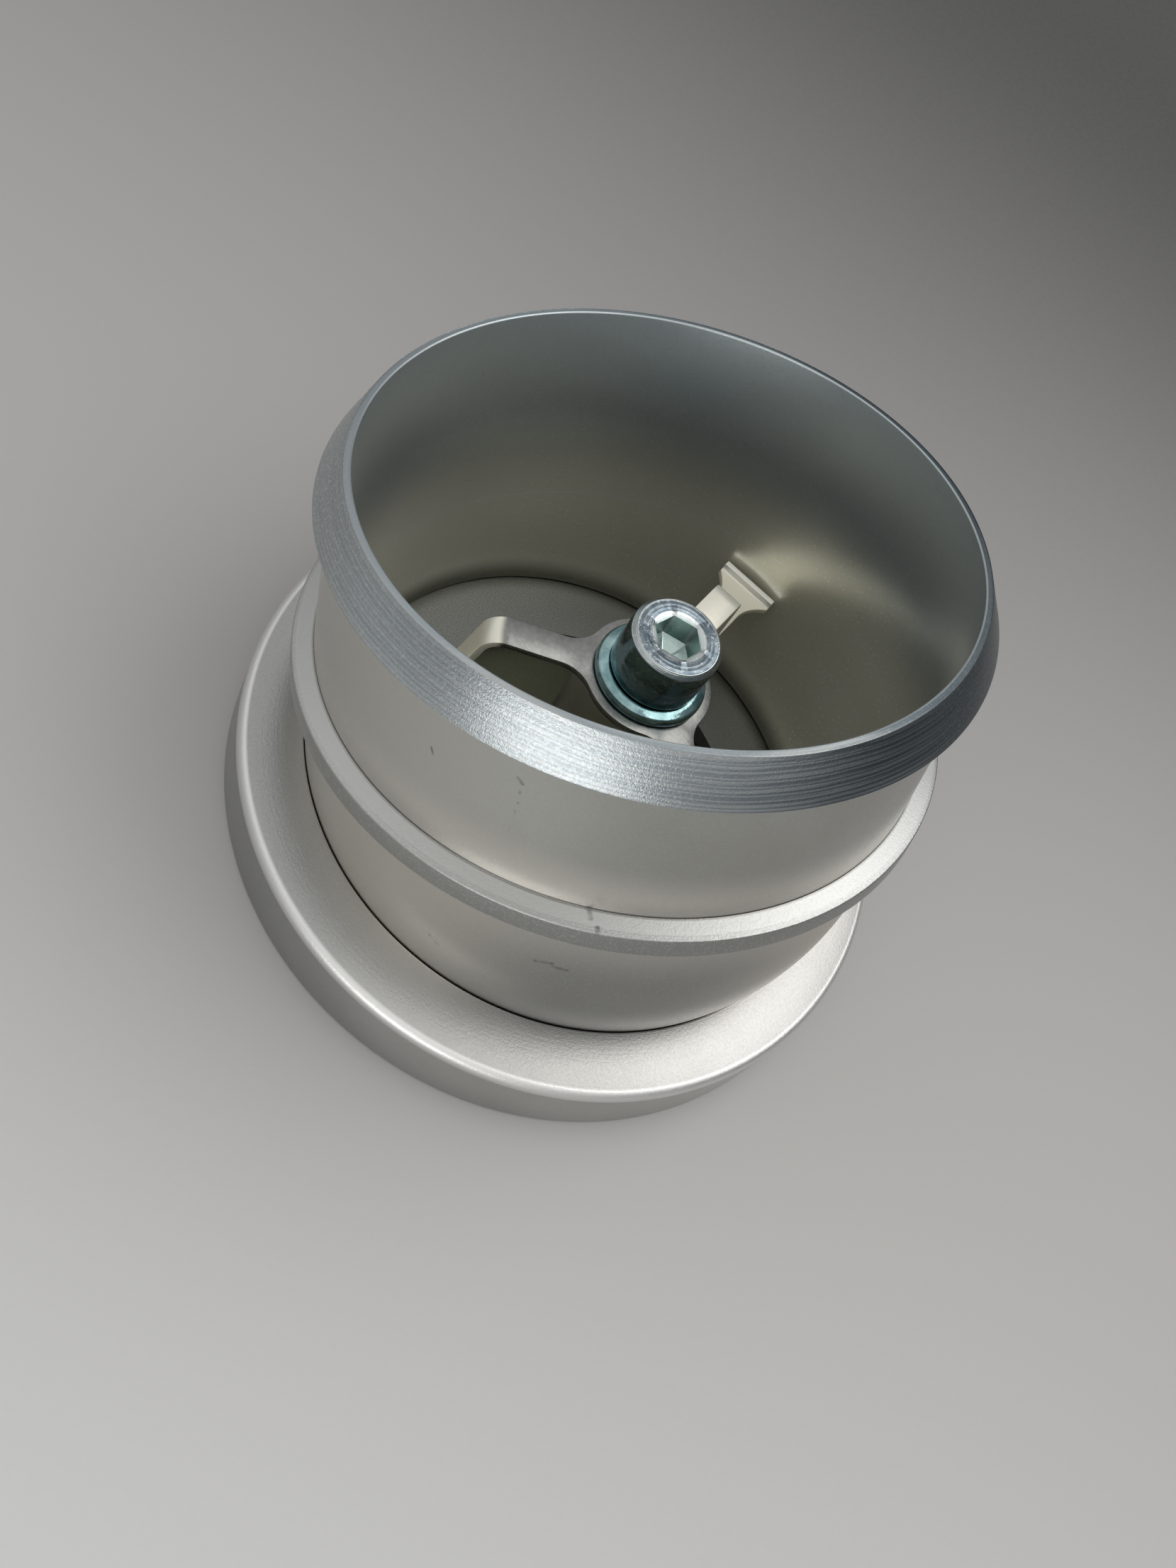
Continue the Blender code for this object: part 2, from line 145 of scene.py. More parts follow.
class Sock:
    """One output of a shader tree, so that a finish is written as arithmetic on positions."""

    def __init__(self, tree, out):
        self.tree = tree
        self.out = out

    def node(self, kind, inputs, output=0, **settings):
        """Any other node: its settings, its inputs by name or number, and one output."""
        made = self.tree.nodes.new(kind)
        for key, value in settings.items():
            setattr(made, key, value)
        for key, value in inputs.items():
            if isinstance(value, Sock):
                self.tree.links.new(value.out, made.inputs[key])
            else:
                made.inputs[key].default_value = value
        return Sock(self.tree, made.outputs[output])

    def math(self, operation, first, second=0.0):
        return self.node("ShaderNodeMath", {0: first, 1: second}, operation=operation)

    def vector(self, operation, other, output=0):
        return self.node("ShaderNodeVectorMath", {0: self, 1: other}, output, operation=operation)

    def __add__(self, other):
        return self.math("ADD", self, other)

    __radd__ = __add__

    def __mul__(self, other):
        return self.math("MULTIPLY", self, other)

    __rmul__ = __mul__

    def __sub__(self, other):
        return self.math("SUBTRACT", self, other)

    def __rsub__(self, other):
        return self.math("SUBTRACT", other, self)

    def __truediv__(self, other):
        return self.math("DIVIDE", self, other)

    def __rtruediv__(self, other):
        return self.math("DIVIDE", other, self)

    def __abs__(self):
        return self.math("ABSOLUTE", self)

    def sine(self):
        return self.math("SINE", self)

    def most(self, other):
        return self.math("MAXIMUM", self, other)

    def shift(self, offset):
        return self.vector("SUBTRACT", offset)

    def scaled(self, factors):
        return self.vector("MULTIPLY", factors)

    def dot(self, other):
        return self.vector("DOT_PRODUCT", other, "Value")

    def length(self):
        return self.node("ShaderNodeVectorMath", {0: self}, "Value", operation="LENGTH")

    def ramp(self, low, high, start=0.0, end=1.0):
        """Smooth step of this value between low and high."""
        inputs = {"Value": self, "From Min": low, "From Max": high, "To Min": start, "To Max": end}
        return self.node("ShaderNodeMapRange", inputs, interpolation_type="SMOOTHSTEP")

    def stripe(self, middle, core, fade):
        """A thin band round one value: full within core of the middle, gone beyond fade."""
        return 1.0 - abs(self - middle).ramp(core, fade)

    def noise(self, scale, detail=2.0, roughness=0.5):
        inputs = {"Vector": self, "Scale": scale, "Detail": detail, "Roughness": roughness}
        return self.node("ShaderNodeTexNoise", inputs)

    def line_noise(self, scale, detail=2.0):
        inputs = {"W": self, "Scale": scale, "Detail": detail}
        return self.node("ShaderNodeTexNoise", inputs, noise_dimensions="1D")

    def blend(self, first, second):
        """Mix two colours by this value."""
        inputs = {"Factor": self, 6: first, 7: second}
        return self.node("ShaderNodeMix", inputs, 2, data_type="RGBA", clamp_factor=True)

    def bump(self, distance, normal=None):
        inputs = {"Height": self, "Strength": 1.0, "Distance": distance}
        if normal is not None:
            inputs["Normal"] = normal
        return self.node("ShaderNodeBump", inputs)


def finish_start(name):
    """A material and its Object coordinates in millimetres."""
    material = bpy.data.materials.new(name)
    material.use_nodes = True
    tree = material.node_tree
    shader = tree.nodes["Principled BSDF"]
    source = tree.nodes.new("ShaderNodeTexCoord")
    point = Sock(tree, source.outputs["Object"]).scaled((1000.0, 1000.0, 1000.0))
    return material, shader, point


def set_varying(shader, name, value):
    value.tree.links.new(value.out, shader.inputs[name])


# Bearings on the part: upwards, its left and right flanks, and its near side.
UP = (0.0, 0.0, 1.0)
LEFT = (0.61, 0.79, 0.0)
RIGHT = (-0.61, -0.79, 0.0)
NEAR = (-0.39, 0.92, 0.0)

tube_finish, shader, point = finish_start("elbow_anodised")
from_ball = point.shift(BALL_CENTRE)
along = from_ball.dot(AXIS)
reach_squared = from_ball.dot(from_ball) - along * along
radius = reach_squared.math("SQRT", reach_squared)
below = along.math("LESS_THAN", along, 0.0)
shell = radius + below * (from_ball.length() - radius)
bore = 1.0 - shell.ramp(40.6, 40.9)
outside = 1.0 - bore
grain = point.noise(2.6, 3.0, 0.6)
fine = point.noise(2.9, 1.0)
cloud = point.noise(0.045, 3.0)

# The wall outside, with a painted sheen: a little paler on one flank, as light reflected there.
dull_wall = cloud.ramp(0.3, 0.7).blend((0.39, 0.39, 0.362, 1.0), (0.45, 0.455, 0.435, 1.0))
wall = point.dot(LEFT).ramp(4.0, 44.0).blend(dull_wall, (0.62, 0.615, 0.575, 1.0))

# The bore, with painted light: warm and pale low down as a painted reflection, cooler and darker
# higher up as painted shade, a little lighter at the mouth, dark at the very foot as painted shade,
# and one pale scribed line.
cool = along.ramp(26.0, 42.0).blend((0.30, 0.33, 0.345, 1.0), (0.44, 0.485, 0.50, 1.0))
bore_tone = along.ramp(8.0, 28.0).blend((0.97, 0.95, 0.82, 1.0), cool)
scribed = (along.stripe(11.3, 0.05, 0.2) * 0.7).blend(bore_tone, (0.95, 0.95, 0.92, 1.0))
# Painted shade: the bore is darkened at its very foot.
foot = 1.0 - point.dot(UP).ramp(8.6, 12.2)
inner_tone = (foot * 0.8).blend(scribed, (0.07, 0.07, 0.055, 1.0))
toned = bore.blend(wall, inner_tone)

# Painted light on the wall below the stop ring: paler flanks as a painted reflection, darker low
# down between them as painted shade; and a painted reflection of the ring just above it.
flank = abs(point.dot(LEFT)).ramp(6.0, 36.0)
ball_tone = along.ramp(-1.0, 9.0).blend((0.28, 0.28, 0.27, 1.0), (0.50, 0.49, 0.46, 1.0))
low_tone = flank.blend(ball_tone, (0.72, 0.68, 0.61, 1.0))
lower = 1.0 - along.ramp(9.6, 10.8)
based = (lower * outside * 0.8).blend(toned, low_tone)
ring_reflection = along.ramp(14.4, 14.8) * (1.0 - along.ramp(14.8, 24.0)) * outside * 0.6
lifted = ring_reflection.blend(based, (0.80, 0.75, 0.69, 1.0))

# The stop ring, with painted light: its sloping top painted pale as lit, painted shade in a dark
# line where it meets the wall, and its outer edge painted a darker grey as shade.
ring_top = along.ramp(13.6, 14.2) * (1.0 - along.ramp(14.9, 15.0)) * radius.ramp(42.25, 42.5)
topped = (ring_top * 0.85).blend(lifted, (0.60, 0.605, 0.598, 1.0))
root_shade = along.stripe(14.72, 0.06, 0.26) * (1.0 - radius.ramp(42.4, 42.6)) * outside
rooted = (root_shade * 0.8).blend(topped, (0.10, 0.10, 0.095, 1.0))
edge = radius.ramp(44.2, 44.6) * (1.0 - along.ramp(20.0, 21.0))
ringed = (edge * (1.0 - ring_top) * 0.6).blend(rooted, (0.25, 0.255, 0.25, 1.0))

# The bevel and the land: fine cut rings, painted pale as a highlight most strongly on the near
# side, over a far side painted darker as shade; painted glints fleck the bevel and the ring's edge.
bevel = along.ramp(37.15, 37.4) * radius.ramp(40.9, 41.1) * (1.0 - along.ramp(43.2, 43.35))
land = along.ramp(43.0, 43.2) * radius.ramp(40.2, 40.35)
pitch = along * 13.0 + along.line_noise(1.7, 2.0) * 8.0 + point.noise(0.06, 1.0) * 9.0
cut_rings = pitch.sine() * 0.5 + 0.5
facing = point.dot(NEAR).ramp(0.0, 34.0)
far_side = point.dot(RIGHT).ramp(-18.0, 20.0)
bevel_tone = far_side.blend((0.335, 0.375, 0.398, 1.0), (0.085, 0.112, 0.132, 1.0))
lined = (cut_rings * (0.12 + facing * 0.88)).blend(bevel_tone, (0.46, 0.482, 0.492, 1.0))
cut = (bevel.most(land) * 0.95).blend(ringed, lined)
glint_share = 0.06 + bevel * (0.55 - facing * 0.40 - far_side * 0.46) + edge * 0.10
speckled = (fine.ramp(0.50, 0.70) * glint_share).blend(cut, (0.76, 0.85, 0.92, 1.0))

# Scuffs, a hair mark and a speck: both ends of each, its width and how dark it is.
SCUFFS = (
    ((-9.2, 38.1, 59.0), (-10.1, 38.0, 58.6), 0.26, 0.8),
    ((-9.9, 38.0, 58.6), (-10.9, 38.0, 55.4), 0.22, 0.6),
    ((-11.2, 38.1, 54.0), (-11.6, 38.1, 52.9), 0.24, 0.4),
    ((-12.0, 38.1, 51.2), (-12.1, 38.1, 50.4), 0.24, 0.4),
    ((0.3, 41.6, 53.0), (-0.3, 41.6, 52.3), 0.16, 0.7),
    ((-26.5, 32.3, 44.2), (-26.2, 32.1, 44.2), 0.36, 1.0),
    ((-24.7, 32.0, 44.2), (-23.6, 31.5, 44.3), 0.4, 0.6),
    ((-23.7, 34.0, 30.6), (-25.2, 32.8, 31.4), 0.35, 0.7),
    ((-25.4, 32.6, 30.9), (-26.9, 31.4, 31.2), 0.3, 0.6),
    ((-12.7, 40.3, 22.6), (-15.5, 39.6, 21.5), 0.3, 0.4),
    ((-21.2, 36.8, 23.6), (-21.5, 36.6, 23.2), 0.3, 0.5),
)
smear = point.noise(0.7, 2.0).ramp(0.3, 0.65, 0.45, 1.0)
ragged = (point.noise(0.6, 2.0) - 0.5) * 0.35
marks = None
for start, end, width, depth in SCUFFS:
    head = Vector(start)
    span = Vector(end) - head
    reach = point.shift(head)
    share = (reach.dot(span) * (1.0 / span.length_squared)).ramp(0.0, 1.0)
    parts = {0: share * span.x, 1: share * span.y, 2: share * span.z}
    gap = reach.shift(share.node("ShaderNodeCombineXYZ", parts)).length()
    mark = (1.0 - (gap + ragged).ramp(width * 0.3, width * 1.4)) * smear * depth
    marks = mark if marks is None else marks.most(mark)

set_varying(shader, "Base Color", marks.blend(speckled, (0.10, 0.105, 0.10, 1.0)))
set_varying(shader, "Metallic", 1.0 - bore * 0.22)
set_varying(shader, "Roughness", 0.30 + (grain - 0.5) * 0.14 + ring_top * 0.13 + marks * 0.2)
blast = (grain * (1.0 - bore * 0.7)).bump(0.000024)
turned = (cut_rings * bevel).bump(0.0000014, blast)
sparkle = (point.noise(5.0, 1.0) * (bevel + edge).ramp(0.0, 1.0)).bump(0.000024, turned)
set_varying(shader, "Normal", sparkle)
tube.data.materials.append(tube_finish)
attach(tube, "elbow")
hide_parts("elbow_tube")


# Base flange
# The same blasted and anodised aluminium, turned in one piece. A hollow seat holds the tube's
# ball, a ledge lies under it, and the crowned top falls gently to a rounded outer edge.
BASE_RADIUS = 50.0
SEAT_RADIUS = 42.32
SEAT_TOP = 13.5
SEAT_LOW_DROP = 15.0
SEAT_HIGH_DROP = 9.9
LIP_WIDTH = 0.4
CROWN_SLOPE = math.radians(14.0)
CROWN_ROUND = 1.3
PORT_RADIUS = 27.0
LEDGE_HEIGHT = 8.0
WEB_LOW = 4.0
RECESS_RADIUS = 34.5
FOOT_EASE = 0.6
SEAT_STEPS = 16
ROUND_STEPS = 14


def turned_piece(name, profile, sides=FINE_SIDES):
    """Turn a closed profile of radius and height about the base's axis."""
    up, east, north = Vector((0, 0, 1)), Vector((1, 0, 0)), Vector((0, 1, 0))
    return skin(name, [ring(up * height, east, north, radius, sides) for radius, height in profile])


def arc(centre, radius, start, end, steps):
    x, z = centre
    turns = [math.radians(start + (end - start) * i / steps) for i in range(steps + 1)]
    return [Vector((x + radius * math.cos(a), z + radius * math.sin(a))) for a in turns]


seat_low = -math.degrees(math.asin(SEAT_LOW_DROP / SEAT_RADIUS))
seat_high = -math.degrees(math.asin(SEAT_HIGH_DROP / SEAT_RADIUS))
seat = arc((0.0, BALL_CENTRE.z), SEAT_RADIUS, seat_low, seat_high, SEAT_STEPS)
lip = seat[-1].x + LIP_WIDTH
crown_r = BASE_RADIUS - CROWN_ROUND
crown_fall = (crown_r + CROWN_ROUND * math.sin(CROWN_SLOPE) - lip) * math.tan(CROWN_SLOPE)
crown_z = SEAT_TOP - crown_fall - CROWN_ROUND * math.cos(CROWN_SLOPE)
profile = [Vector((PORT_RADIUS, WEB_LOW)), Vector((PORT_RADIUS, LEDGE_HEIGHT - 0.25)),
           Vector((PORT_RADIUS + 0.08, LEDGE_HEIGHT - 0.08)),
           Vector((PORT_RADIUS + 0.25, LEDGE_HEIGHT))]
profile += seat
profile += [Vector((seat[-1].x + 0.15, SEAT_TOP - 0.08)), Vector((lip, SEAT_TOP))]
profile += arc((crown_r, crown_z), CROWN_ROUND, 90.0 - math.degrees(CROWN_SLOPE), 0.0, ROUND_STEPS)
profile += [Vector((BASE_RADIUS, FOOT_EASE)), Vector((BASE_RADIUS - 0.18, 0.18)),
            Vector((BASE_RADIUS - FOOT_EASE, 0.0)),
            Vector((RECESS_RADIUS, 0.0)), Vector((RECESS_RADIUS, WEB_LOW))]
flange = turned_piece("base_flange_dressed", profile)

FLAT = (1.0, 1.0, 0.0)
flange_finish, shader, point = finish_start("base_anodised")
grain = point.noise(2.6, 3.0, 0.6)
fine = point.noise(7.0, 1.0)
cloud = point.noise(0.05, 3.0)
away = point.scaled(FLAT).length()
inside = 1.0 - away.ramp(37.0, 38.0)
even = cloud.ramp(0.3, 0.7).blend((0.47, 0.463, 0.447, 1.0), (0.53, 0.525, 0.513, 1.0))
# Painted shade darkens the crown towards its left flank, and a painted highlight runs round the
# rounded outer edge.
left_shade = point.dot(LEFT).ramp(14.0, 52.0)
crown = (left_shade * 0.8).blend(even, (0.33, 0.335, 0.335, 1.0))
edge_highlight = away.ramp(48.6, 49.1) * point.dot(UP).ramp(9.6, 10.3) * 0.7
edged = edge_highlight.blend(crown, (0.92, 0.915, 0.90, 1.0))
# Painted shade: the ledge and the opening inside the seat are painted near black.
ledge = inside.blend(edged, (0.105, 0.108, 0.098, 1.0))
speckled = (fine.ramp(0.35, 0.75) * 0.14).blend(ledge, (0.86, 0.87, 0.86, 1.0))
# Painted shade in a dark band round the ledge's outer edge at the foot of the seat, with scattered
# dust spots as well.
groove_shade = away.ramp(34.6, 37.4) * (1.0 - away.ramp(37.8, 38.4)) * 0.75
dust_and_groove_shade = groove_shade + point.noise(0.55, 4.0, 0.7).ramp(0.66, 0.74) * 0.10
set_varying(shader, "Base Color", dust_and_groove_shade.blend(speckled, (0.06, 0.06, 0.05, 1.0)))
shader.inputs["Metallic"].default_value = 1.0
set_varying(shader, "Roughness", 0.42 + (grain - 0.5) * 0.16 + inside * 0.08)
turning = away.line_noise(5.0, 2.0)
set_varying(shader, "Normal", (turning * 0.4).bump(0.00003, grain.bump(0.00003)))
flange.data.materials.append(flange_finish)
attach(flange, "base")
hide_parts("base_flange")

# Anchor plate
# Dull sheet at the bottom of the base's opening, cut with slots, painted near black as the shade
# deep in the opening.
# The imported solid keeps its own mesh and only gets this finish.
plate_finish, shader, point = finish_start("plate_dark")
patch = point.noise(0.06, 2.0, 0.5).ramp(0.35, 0.7)
plate_shade = patch.blend((0.030, 0.032, 0.018, 1.0), (0.075, 0.078, 0.050, 1.0))
set_varying(shader, "Base Color", plate_shade)
shader.inputs["Metallic"].default_value = 0.7
set_varying(shader, "Roughness", 0.55 + (point.noise(1.8, 3.0) - 0.5) * 0.2)
set_varying(shader, "Normal", point.noise(2.2, 3.0).bump(0.00004))
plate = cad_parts["anchor_plate"]
plate.data.materials.clear()
plate.data.materials.append(plate_finish)

# Centre sleeve
# Turned aluminium post that stands on the plate and carries the clamp. It is satin, with faint
# rings round it, and the screw passes down through it.
HOLE_RADIUS = 4.3
SLEEVE_TOP = 38.5
SLEEVE_FOOT = 0.5
SPIGOT_HIGH = 4.0
SPIGOT_RADIUS = 6.0
POST_RADIUS = 8.75
sleeve = turned_piece("centre_sleeve_dressed", rounded(
    [(HOLE_RADIUS, SLEEVE_FOOT), (HOLE_RADIUS, SLEEVE_TOP), (POST_RADIUS, SLEEVE_TOP),
     (POST_RADIUS, SPIGOT_HIGH), (SPIGOT_RADIUS, SPIGOT_HIGH), (SPIGOT_RADIUS, SLEEVE_FOOT)],
    [0.0, 0.4, 0.4, 0.1, 0.0, 0.1]), 128)
sleeve_finish, shader, point = finish_start("sleeve_turned")
lines = point.dot(UP).line_noise(3.2, 2.0)
post_tone = lines.ramp(0.3, 0.7).blend((0.34, 0.325, 0.275, 1.0), (0.42, 0.41, 0.355, 1.0))
set_varying(shader, "Base Color", post_tone)
shader.inputs["Metallic"].default_value = 1.0
set_varying(shader, "Roughness", 0.30 + (point.noise(1.2, 3.0) - 0.5) * 0.12)
set_varying(shader, "Normal", lines.bump(0.00005))
sleeve.data.materials.append(sleeve_finish)
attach(sleeve, "base")
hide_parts("centre_sleeve")

# Clamp spider
# Sheet metal cut to a three-armed star and folded: down at each knee, out again to a flared toe
# with a short upturned lip. One arm's third of the star is made and repeated round the screw.
ARMS = 3
FIRST_ARM = math.radians(45.0)
SHEET_THICKNESS = 1.0
HUB_LOW = 38.8
HUB_RADIUS = 9.3
HALF_WIDTH = 2.2
ROOT_FILLET = 5.0
FLAT_END = 19.8
KNEE_BEND = 3.0
ANKLE_BEND = 2.4
DROP = -math.radians(80.0)
SPLAY = math.radians(10.0)
TOE_LEVEL = 25.0
TOE_FLARE = 2.6
TOE_LENGTH = 6.0
TOE_REACH = 39.7
TOE_RISE = 4.1
LIP_BEND = 1.0
LIP_TOP = 26.6
ARC_STEPS = 12
HALF_SECTOR = math.pi / ARMS

# The flat third of the star, from one cut between arms to the next.
fillet_x = math.sqrt((HUB_RADIUS + ROOT_FILLET) ** 2 - (HALF_WIDTH + ROOT_FILLET) ** 2)
touch = math.atan2(HALF_WIDTH + ROOT_FILLET, fillet_x)
root = []
for step in range(ARC_STEPS + 1):
    angle = math.pi + touch + (math.pi / 2.0 - touch) * step / ARC_STEPS
    root.append((fillet_x + ROOT_FILLET * math.cos(angle),
                 HALF_WIDTH + ROOT_FILLET * (1.0 + math.sin(angle))))
outline = [(FLAT_END, -HALF_WIDTH), (FLAT_END, HALF_WIDTH)] + list(reversed(root))
for step in range(1, ARC_STEPS + 1):
    angle = touch + (HALF_SECTOR - touch) * step / ARC_STEPS
    outline.append((HUB_RADIUS * math.cos(angle), HUB_RADIUS * math.sin(angle)))
for step in range(2 * ARC_STEPS + 1):
    angle = HALF_SECTOR - 2.0 * HALF_SECTOR * step / (2 * ARC_STEPS)
    outline.append((HOLE_RADIUS * math.cos(angle), HOLE_RADIUS * math.sin(angle)))
for step in range(ARC_STEPS):
    angle = -HALF_SECTOR + (HALF_SECTOR - touch) * step / ARC_STEPS
    outline.append((HUB_RADIUS * math.cos(angle), HUB_RADIUS * math.sin(angle)))
outline += [(x, -y) for x, y in root]
bm = bmesh.new()
verts = [bm.verts.new((x, y, HUB_LOW)) for x, y in outline]
edges = [bm.edges.new((verts[i], verts[(i + 1) % len(verts)])) for i in range(len(verts))]
filled = bmesh.ops.triangle_fill(bm, use_beauty=True, edges=edges, normal=UP)
faces = [item for item in filled["geom"] if isinstance(item, bmesh.types.BMFace)]
raised = bmesh.ops.extrude_face_region(bm, geom=faces)
tops = [item for item in raised["geom"] if isinstance(item, bmesh.types.BMVert)]
bmesh.ops.translate(bm, vec=Vector((0.0, 0.0, SHEET_THICKNESS)), verts=tops)
bmesh.ops.recalc_face_normals(bm, faces=bm.faces[:])
bm.normal_update()

# The two cuts and the arm's end are opened, for the next arms and for the folded leg.
sides = [face for face in bm.faces if abs(face.normal.z) < 0.5]
cuts = []
for face in sides:
    middle = face.calc_center_median()
    off_cut = abs(abs(math.atan2(middle.y, middle.x)) - HALF_SECTOR)
    if off_cut < 0.001 and face.calc_area() > 3.0:
        cuts.append(face)
end = max(sides, key=lambda face: face.calc_center_median().x)
middle = end.calc_center_median()
ends = list(end.verts)
signs = [(math.copysign(1.0, v.co.y - middle.y), math.copysign(1.0, v.co.z - middle.z))
         for v in ends]
for face in cuts + [end]:
    bm.faces.remove(face)

# Stations along the leg: how far out, how high, and how steep the sheet is there. The toe ends
# where its corners come within reach of the bore's wall.
sheet_mid = HUB_LOW + SHEET_THICKNESS / 2.0
toe_half = HALF_WIDTH + TOE_FLARE
toe_x = math.sqrt(TOE_REACH ** 2 - TOE_RISE ** 2 - toe_half ** 2) - SHEET_THICKNESS / 2.0
toe_start = toe_x - TOE_LENGTH
flare_length = TOE_LENGTH - LIP_BEND
stations = []
for step in range(1, 17):
    slope = DROP * step / 16
    stations.append([FLAT_END - KNEE_BEND * math.sin(slope),
                     sheet_mid - KNEE_BEND * (1.0 - math.cos(slope)), slope])
knee_x, knee_z = stations[-1][:2]
leg_drop = knee_z - TOE_LEVEL - ANKLE_BEND * (1.0 - math.cos(DROP))
leg_x = knee_x + leg_drop * math.tan(SPLAY)
for step in range(13):
    slope = DROP * (1.0 - step / 12)
    stations.append([leg_x + ANKLE_BEND * (math.sin(slope) - math.sin(DROP)),
                     TOE_LEVEL + ANKLE_BEND * (1.0 - math.cos(slope)), slope])
for step in range(17):
    stations.append([toe_start + flare_length * step / 16, TOE_LEVEL, 0.0])
for step in range(1, 9):
    slope = math.pi / 2.0 * step / 8
    stations.append([toe_x - LIP_BEND + LIP_BEND * math.sin(slope),
                     TOE_LEVEL + LIP_BEND - LIP_BEND * math.cos(slope), slope])
stations.append([toe_x, LIP_TOP, math.pi / 2.0])
for reach, level, slope in stations:
    share = min(1.0, max(0.0, (reach - toe_start) / flare_length))
    half = HALF_WIDTH + TOE_FLARE * share ** 2
    normal = Vector((-math.sin(slope), 0.0, math.cos(slope)))
    place = Vector((reach, 0.0, level))
    fresh = []
    for a, b in signs:
        across = Vector((0.0, a * half, 0.0))
        fresh.append(bm.verts.new(place + across + normal * (b * SHEET_THICKNESS / 2.0)))
    for i in range(4):
        j = (i + 1) % 4
        bm.faces.new((ends[i], ends[j], fresh[j], fresh[i]))
    ends = fresh
bm.faces.new(ends)
bmesh.ops.scale(bm, vec=Vector((0.001, 0.001, 0.001)), verts=bm.verts[:])
bmesh.ops.recalc_face_normals(bm, faces=bm.faces[:])
mesh = bpy.data.meshes.new("clamp_spider_dressed")
bm.to_mesh(mesh)
bm.free()
spider = bpy.data.objects.new("clamp_spider_dressed", mesh)
bpy.context.scene.collection.objects.link(spider)

# Satin sheet. One arm and the legs and toes of all arms are painted paler and less metallic as a
# painted highlight, and the lips are palest.
spider_finish, shader, point = finish_start("spider_satin")
roll = point.scaled((0.4, 6.0, 6.0)).noise(0.9, 3.0, 0.6)
spots = point.noise(1.6, 3.0, 0.6)
sheet_tone = spots.ramp(0.3, 0.75).blend((0.22, 0.222, 0.214, 1.0), (0.275, 0.275, 0.264, 1.0))
flat = point.scaled(FLAT)
one_arm = flat.dot((0.2588, -0.9659, 0.0)).ramp(9.5, 11.0)
outer_end = flat.length().ramp(20.5, 21.5)
painted_sheen = one_arm.most(outer_end)
turned_up = point.dot(UP).ramp(25.6, 25.9) * flat.length().ramp(38.0, 38.4)
foot_tone = turned_up.blend((0.91, 0.875, 0.76, 1.0), (1.0, 1.0, 0.98, 1.0))
set_varying(shader, "Base Color", painted_sheen.blend(sheet_tone, foot_tone))
set_varying(shader, "Metallic", 1.0 - painted_sheen * 0.45)
set_varying(shader, "Roughness", 0.26 + (roll - 0.5) * 0.12 + painted_sheen * 0.12)
set_varying(shader, "Normal", roll.bump(0.000008, spots.bump(0.000010)))

# The tree that sets the arms round the axis and welds their cuts.
star = bpy.data.node_groups.new("spider_star", "GeometryNodeTree")
star.interface.new_socket("Arm", in_out="INPUT", socket_type="NodeSocketGeometry")
sizes = {}
for label, kind in (("Arms", "NodeSocketInt"), ("First bearing", "NodeSocketFloat"),
                    ("Finish", "NodeSocketMaterial")):
    made = star.interface.new_socket(label, in_out="INPUT", socket_type=kind)
    sizes[label] = made.identifier
star.interface.new_socket("Star", in_out="OUTPUT", socket_type="NodeSocketGeometry")
given = {socket.name: Sock(star, socket) for socket in star.nodes.new("NodeGroupInput").outputs}
number = Sock(star, star.nodes.new("GeometryNodeInputIndex").outputs["Index"])
bearing = number * (2.0 * math.pi / given["Arms"]) + given["First bearing"]
turn = number.node("ShaderNodeCombineXYZ", {"Z": bearing})
points = turn.node("GeometryNodePoints", {"Count": given["Arms"]})
arms = turn.node("GeometryNodeInstanceOnPoints",
                 {"Points": points, "Instance": given["Arm"], "Rotation": turn})
joined = turn.node("GeometryNodeRealizeInstances", {"Geometry": arms})
welded = turn.node("GeometryNodeMergeByDistance", {"Geometry": joined, "Distance": 0.000002})
finished = turn.node("GeometryNodeSetMaterial", {"Geometry": welded, "Material": given["Finish"]})
star.links.new(finished.out, star.nodes.new("NodeGroupOutput").inputs["Star"])
copies = spider.modifiers.new("arms", "NODES")
copies.node_group = star
copies[sizes["Arms"]] = ARMS
copies[sizes["First bearing"]] = FIRST_ARM
copies[sizes["Finish"]] = spider_finish
soften = spider.modifiers.new("edges", "BEVEL")
soften.width = 0.00012
soften.segments = 2
soften.limit_method = "ANGLE"
soften.angle_limit = math.radians(50.0)
shown = bpy.data.meshes.new_from_object(spider.evaluated_get(bpy.context.evaluated_depsgraph_get()))
spider.modifiers.clear()
spider.data = shown
shown.shade_smooth()
shown.set_sharp_from_angle(angle=math.radians(40.0))
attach(spider, "base")
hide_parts("clamp_spider")

# Plain washer
# Stamped steel, blue zinc plated, with an eased upper edge. It lies loose on the clamp's hub
# under the screw's head.
WASHER_LOW = 40.1
WASHER_TOP = 41.7
WASHER_RADIUS = 8.0
washer = turned_piece("plain_washer_dressed", rounded(
    [(HOLE_RADIUS, WASHER_LOW), (HOLE_RADIUS, WASHER_TOP), (6.7, WASHER_TOP),
     (7.75, 41.3), (WASHER_RADIUS, 40.8), (WASHER_RADIUS, WASHER_LOW)],
    [0.0, 0.15, 0.3, 0.2, 0.15, 0.15], 6), 160)
zinc_finish, shader, point = finish_start("washer_zinc")
haze = point.noise(0.5, 3.0).ramp(0.3, 0.7)
set_varying(shader, "Base Color", haze.blend((0.16, 0.27, 0.285, 1.0), (0.36, 0.52, 0.53, 1.0)))
shader.inputs["Metallic"].default_value = 1.0
set_varying(shader, "Roughness", 0.12 + (point.noise(2.0, 3.0) - 0.5) * 0.10)
set_varying(shader, "Normal", point.noise(2.4, 2.0).bump(0.00002))
washer.data.materials.append(zinc_finish)
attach(washer, "base")
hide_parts("plain_washer")

